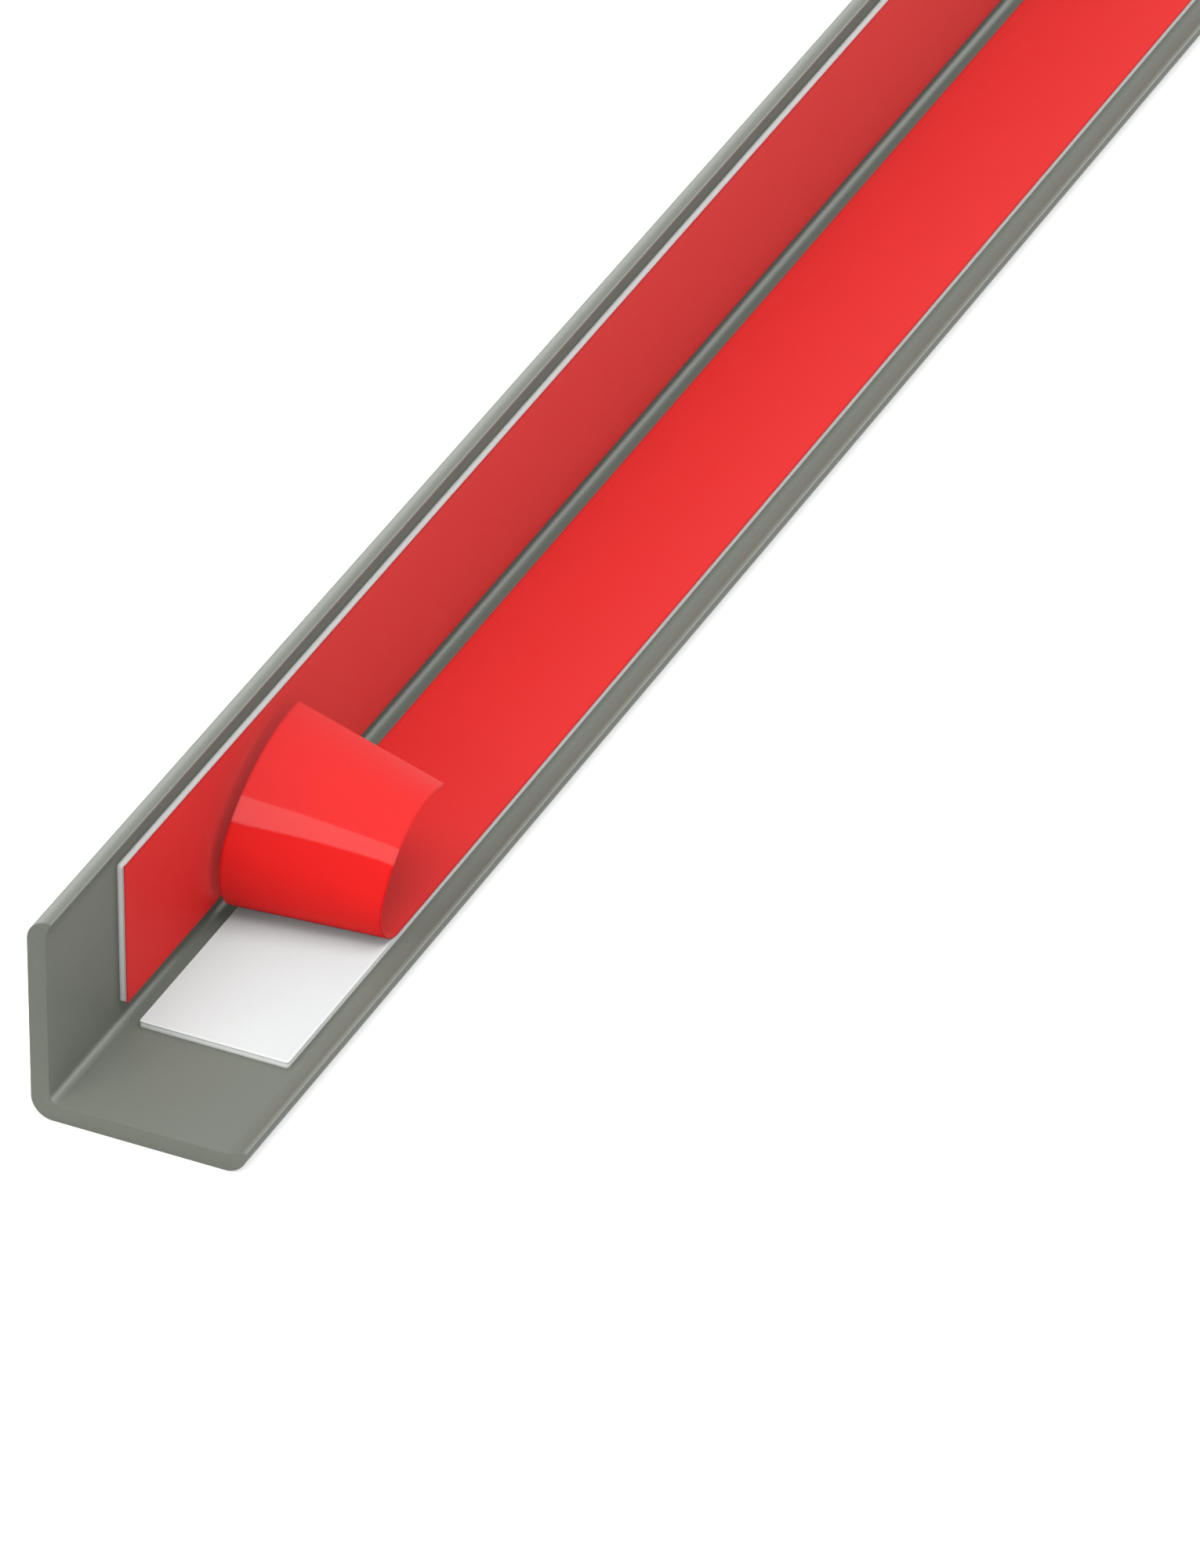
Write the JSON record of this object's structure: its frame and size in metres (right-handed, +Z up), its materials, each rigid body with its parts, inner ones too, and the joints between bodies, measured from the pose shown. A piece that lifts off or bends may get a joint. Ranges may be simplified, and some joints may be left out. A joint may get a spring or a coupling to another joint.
{
  "type": "pvc corner guard",
  "caption": "Self-adhesive PVC edge protector: an equal angle with hooked lips, a foam tape inside each leg and red release liners, one of them peeled back at the near end.",
  "frame": {"origin": "centre of the lying leg's underside footprint: midway along the length and across the leg, on the surface that the guard lies on", "axes": "+Y along the length, away from the peeled end; +X across the lying leg from the outer corner to its lip; +Z up along the upright leg"},
  "size_m": [0.025, 1, 0.025],
  "materials": {
    "pvc": "extruded grey-green PVC, satin",
    "foam_tape": "white double-sided foam tape, smooth and slightly tacky",
    "release_film": "red release film, smooth and glossy"
  },
  "bodies": {
    "root": {"corner_profile": "pvc", "flat_tape": "foam_tape", "upright_tape": "foam_tape", "upright_liner": "release_film", "flat_liner": "release_film"}
  },
  "joints": []
}
